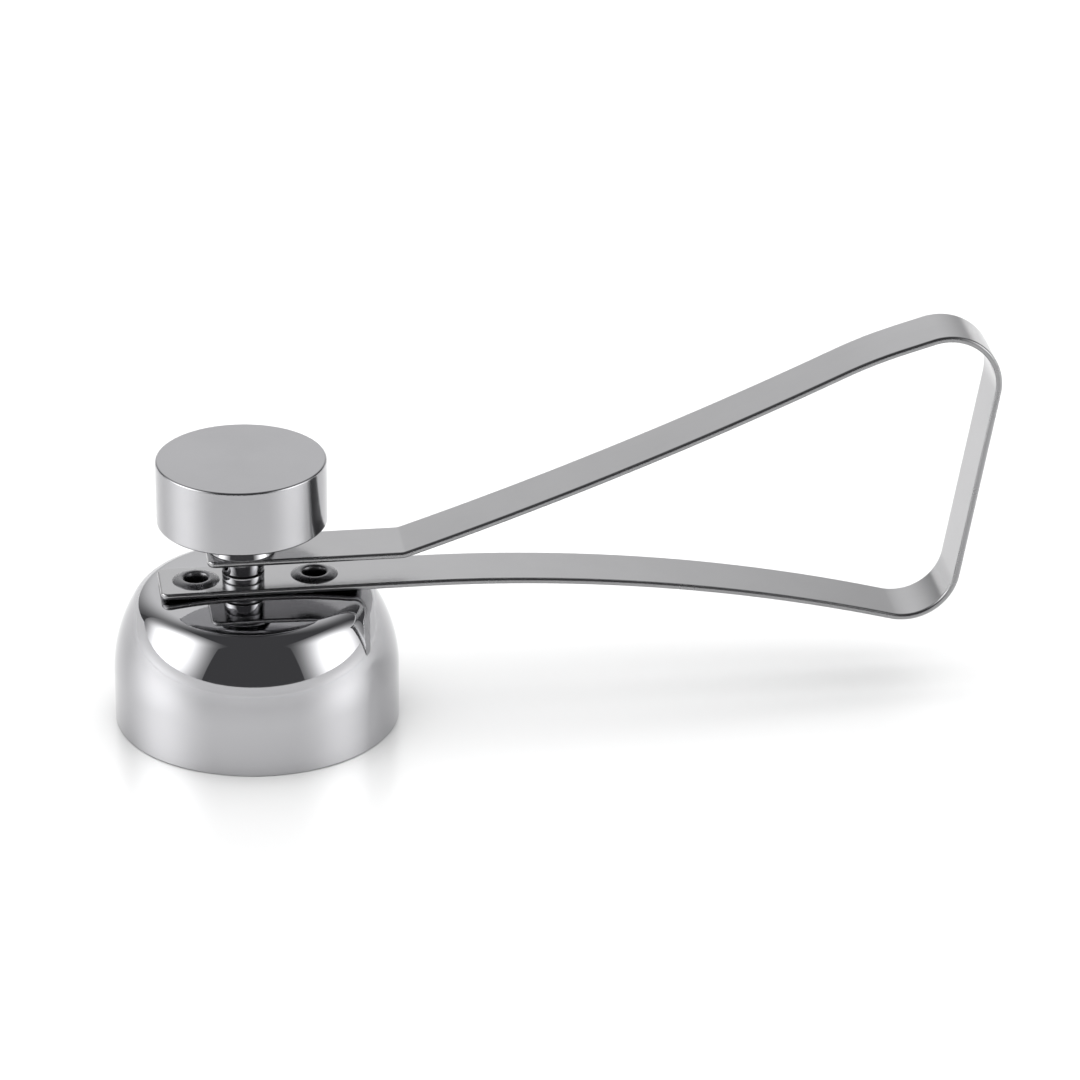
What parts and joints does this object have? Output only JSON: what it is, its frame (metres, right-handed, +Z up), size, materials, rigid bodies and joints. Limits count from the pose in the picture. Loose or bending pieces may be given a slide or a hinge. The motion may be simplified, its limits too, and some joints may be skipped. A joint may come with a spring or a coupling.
{
  "type": "egg topper",
  "caption": "Egg topper with a domed cup for the end of an egg, a bent strap handle loop riveted to it, and a knob on the strap's sprung end that is lifted and dropped to crack the shell.",
  "frame": {"origin": "centre of the cup's mouth, in the plane of its rim", "axes": "+Z up from the mouth through the cup's crown, +X along the handle, Y across the strap"},
  "size_m": [0.109, 0.035, 0.0472],
  "materials": {
    "polished_steel": "mirror-polished stainless steel",
    "satin_steel": "satin rolled spring steel strip",
    "rivet_steel": "tumbled hollow rivet, dull",
    "turned_steel": "turned and polished stainless steel",
    "screw_steel": "bright turned stainless steel"
  },
  "bodies": {
    "cup_and_handle": {"cup": "polished_steel", "tail_rivet": "rivet_steel", "handle_rivet": "rivet_steel", "handle_strap": "satin_steel"},
    "striker": {"spring_arm": "satin_steel", "striker_screw": "screw_steel", "striker_sleeve": "screw_steel", "knob_collar": "turned_steel", "striker_knob": "turned_steel"}
  },
  "joints": [
    {"name": "arm_flex", "type": "hinge", "parent": "cup_and_handle", "child": "striker", "pos_m": [0.08166, 0, 0.04673], "axis": [0, 1, 0], "range_deg": [0, 10], "stiffness_Nm_per_rad": 0.573, "springref_deg": -8.31}
  ]
}
